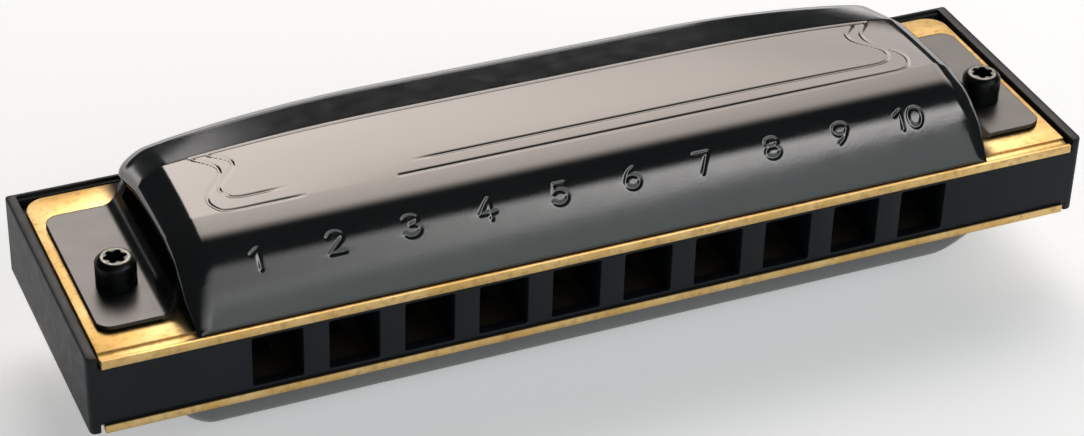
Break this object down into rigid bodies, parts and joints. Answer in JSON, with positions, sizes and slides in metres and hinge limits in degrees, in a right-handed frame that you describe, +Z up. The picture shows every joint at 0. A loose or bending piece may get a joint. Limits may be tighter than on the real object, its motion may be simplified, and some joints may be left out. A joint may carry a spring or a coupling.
{
  "type": "ten-hole diatonic harmonica",
  "caption": "Bolted diatonic harmonica: black comb, two brass reed plates with riveted reeds, and two black pressed covers with screw tabs.",
  "frame": {"origin": "centre of the footprint, on the plane that the lower cover rests on", "axes": "+X along the row of holes from the lowest note to the highest, +Y from the mouth side to the back, +Z up through the upper cover"},
  "size_m": [0.1036, 0.0284, 0.0241],
  "materials": {
    "black_plastic": "satin moulded black plastic with a faint grain",
    "black_lacquer": "smooth glossy black lacquer on pressed sheet",
    "plate_brass": "rolled brass, satin, faintly mottled, bright rounded edges",
    "reed_brass": "fine brushed brass strip",
    "rivet_brass": "plain turned brass",
    "black_steel": "black oxide steel, satin, bright worn rim",
    "plain_steel": "plain turned steel"
  },
  "bodies": {
    "body": {"comb": "black_plastic", "blow_reed_plate": "plate_brass", "draw_reed_plate": "plate_brass", "upper_cover_plate": "black_lacquer", "lower_cover_plate": "black_lacquer", "cover_screw_left": "black_steel", "cover_screw_right": "black_steel", "cover_nut_left": "black_steel", "cover_nut_right": "black_steel", "reed_plate_screw_front_left": "plain_steel", "reed_plate_screw_front_right": "plain_steel", "reed_plate_screw_rear_left": "plain_steel", "reed_plate_screw_rear_middle": "plain_steel", "reed_plate_screw_rear_right": "plain_steel", "blow_reed_rivet_1": "rivet_brass", "blow_reed_rivet_2": "rivet_brass", "blow_reed_rivet_3": "rivet_brass", "blow_reed_rivet_4": "rivet_brass", "blow_reed_rivet_5": "rivet_brass", "blow_reed_rivet_6": "rivet_brass", "blow_reed_rivet_7": "rivet_brass", "blow_reed_rivet_8": "rivet_brass", "blow_reed_rivet_9": "rivet_brass", "blow_reed_rivet_10": "rivet_brass", "draw_reed_rivet_1": "rivet_brass", "draw_reed_rivet_2": "rivet_brass", "draw_reed_rivet_3": "rivet_brass", "draw_reed_rivet_4": "rivet_brass", "draw_reed_rivet_5": "rivet_brass", "draw_reed_rivet_6": "rivet_brass", "draw_reed_rivet_7": "rivet_brass", "draw_reed_rivet_8": "rivet_brass", "draw_reed_rivet_9": "rivet_brass", "draw_reed_rivet_10": "rivet_brass"},
    "blow_reed_1": {"blow_reed_1": "reed_brass"},
    "blow_reed_2": {"blow_reed_2": "reed_brass"},
    "blow_reed_3": {"blow_reed_3": "reed_brass"},
    "blow_reed_4": {"blow_reed_4": "reed_brass"},
    "blow_reed_5": {"blow_reed_5": "reed_brass"},
    "blow_reed_6": {"blow_reed_6": "reed_brass"},
    "blow_reed_7": {"blow_reed_7": "reed_brass"},
    "blow_reed_8": {"blow_reed_8": "reed_brass"},
    "blow_reed_9": {"blow_reed_9": "reed_brass"},
    "blow_reed_10": {"blow_reed_10": "reed_brass"},
    "draw_reed_1": {"draw_reed_1": "reed_brass"},
    "draw_reed_2": {"draw_reed_2": "reed_brass"},
    "draw_reed_3": {"draw_reed_3": "reed_brass"},
    "draw_reed_4": {"draw_reed_4": "reed_brass"},
    "draw_reed_5": {"draw_reed_5": "reed_brass"},
    "draw_reed_6": {"draw_reed_6": "reed_brass"},
    "draw_reed_7": {"draw_reed_7": "reed_brass"},
    "draw_reed_8": {"draw_reed_8": "reed_brass"},
    "draw_reed_9": {"draw_reed_9": "reed_brass"},
    "draw_reed_10": {"draw_reed_10": "reed_brass"}
  },
  "joints": [
    {"name": "blow_reed_1_swing", "type": "hinge", "parent": "body", "child": "blow_reed_1", "pos_m": [-0.03375, -0.01018, 0.01493], "axis": [1, 0, 0], "range_deg": [-2.8, 2.8], "stiffness_Nm_per_rad": 0.00225},
    {"name": "blow_reed_2_swing", "type": "hinge", "parent": "body", "child": "blow_reed_2", "pos_m": [-0.02625, -0.01018, 0.01493], "axis": [1, 0, 0], "range_deg": [-2.8, 2.8], "stiffness_Nm_per_rad": 0.00194},
    {"name": "blow_reed_3_swing", "type": "hinge", "parent": "body", "child": "blow_reed_3", "pos_m": [-0.01875, -0.01018, 0.01493], "axis": [1, 0, 0], "range_deg": [-2.8, 2.8], "stiffness_Nm_per_rad": 0.00166},
    {"name": "blow_reed_4_swing", "type": "hinge", "parent": "body", "child": "blow_reed_4", "pos_m": [-0.01125, -0.01018, 0.01493], "axis": [1, 0, 0], "range_deg": [-2.8, 2.8], "stiffness_Nm_per_rad": 0.00142},
    {"name": "blow_reed_5_swing", "type": "hinge", "parent": "body", "child": "blow_reed_5", "pos_m": [-0.00375, -0.01018, 0.01493], "axis": [1, 0, 0], "range_deg": [-2.8, 2.8], "stiffness_Nm_per_rad": 0.00119},
    {"name": "blow_reed_6_swing", "type": "hinge", "parent": "body", "child": "blow_reed_6", "pos_m": [0.00375, -0.01018, 0.01493], "axis": [1, 0, 0], "range_deg": [-2.8, 2.8], "stiffness_Nm_per_rad": 0.000996},
    {"name": "blow_reed_7_swing", "type": "hinge", "parent": "body", "child": "blow_reed_7", "pos_m": [0.01125, -0.01018, 0.01493], "axis": [1, 0, 0], "range_deg": [-2.8, 2.8], "stiffness_Nm_per_rad": 0.000821},
    {"name": "blow_reed_8_swing", "type": "hinge", "parent": "body", "child": "blow_reed_8", "pos_m": [0.01875, -0.01018, 0.01493], "axis": [1, 0, 0], "range_deg": [-2.8, 2.8], "stiffness_Nm_per_rad": 0.000668},
    {"name": "blow_reed_9_swing", "type": "hinge", "parent": "body", "child": "blow_reed_9", "pos_m": [0.02625, -0.01018, 0.01493], "axis": [1, 0, 0], "range_deg": [-2.8, 2.8], "stiffness_Nm_per_rad": 0.000535},
    {"name": "blow_reed_10_swing", "type": "hinge", "parent": "body", "child": "blow_reed_10", "pos_m": [0.03375, -0.01018, 0.01493], "axis": [1, 0, 0], "range_deg": [-2.8, 2.8], "stiffness_Nm_per_rad": 0.000421},
    {"name": "draw_reed_1_swing", "type": "hinge", "parent": "body", "child": "draw_reed_1", "pos_m": [-0.03375, 0.00953, 0.00773], "axis": [1, 0, 0], "range_deg": [-2.8, 2.8], "stiffness_Nm_per_rad": 0.00225},
    {"name": "draw_reed_2_swing", "type": "hinge", "parent": "body", "child": "draw_reed_2", "pos_m": [-0.02625, 0.00869, 0.00773], "axis": [1, 0, 0], "range_deg": [-2.8, 2.8], "stiffness_Nm_per_rad": 0.00194},
    {"name": "draw_reed_3_swing", "type": "hinge", "parent": "body", "child": "draw_reed_3", "pos_m": [-0.01875, 0.00786, 0.00773], "axis": [1, 0, 0], "range_deg": [-2.8, 2.8], "stiffness_Nm_per_rad": 0.00166},
    {"name": "draw_reed_4_swing", "type": "hinge", "parent": "body", "child": "draw_reed_4", "pos_m": [-0.01125, 0.00702, 0.00773], "axis": [1, 0, 0], "range_deg": [-2.8, 2.8], "stiffness_Nm_per_rad": 0.00142},
    {"name": "draw_reed_5_swing", "type": "hinge", "parent": "body", "child": "draw_reed_5", "pos_m": [-0.00375, 0.00619, 0.00773], "axis": [1, 0, 0], "range_deg": [-2.8, 2.8], "stiffness_Nm_per_rad": 0.00119},
    {"name": "draw_reed_6_swing", "type": "hinge", "parent": "body", "child": "draw_reed_6", "pos_m": [0.00375, 0.00536, 0.00773], "axis": [1, 0, 0], "range_deg": [-2.8, 2.8], "stiffness_Nm_per_rad": 0.000996},
    {"name": "draw_reed_7_swing", "type": "hinge", "parent": "body", "child": "draw_reed_7", "pos_m": [0.01125, 0.00453, 0.00773], "axis": [1, 0, 0], "range_deg": [-2.8, 2.8], "stiffness_Nm_per_rad": 0.000821},
    {"name": "draw_reed_8_swing", "type": "hinge", "parent": "body", "child": "draw_reed_8", "pos_m": [0.01875, 0.00369, 0.00773], "axis": [1, 0, 0], "range_deg": [-2.8, 2.8], "stiffness_Nm_per_rad": 0.000668},
    {"name": "draw_reed_9_swing", "type": "hinge", "parent": "body", "child": "draw_reed_9", "pos_m": [0.02625, 0.00286, 0.00773], "axis": [1, 0, 0], "range_deg": [-2.8, 2.8], "stiffness_Nm_per_rad": 0.000535},
    {"name": "draw_reed_10_swing", "type": "hinge", "parent": "body", "child": "draw_reed_10", "pos_m": [0.03375, 0.00202, 0.00773], "axis": [1, 0, 0], "range_deg": [-2.8, 2.8], "stiffness_Nm_per_rad": 0.000421}
  ]
}
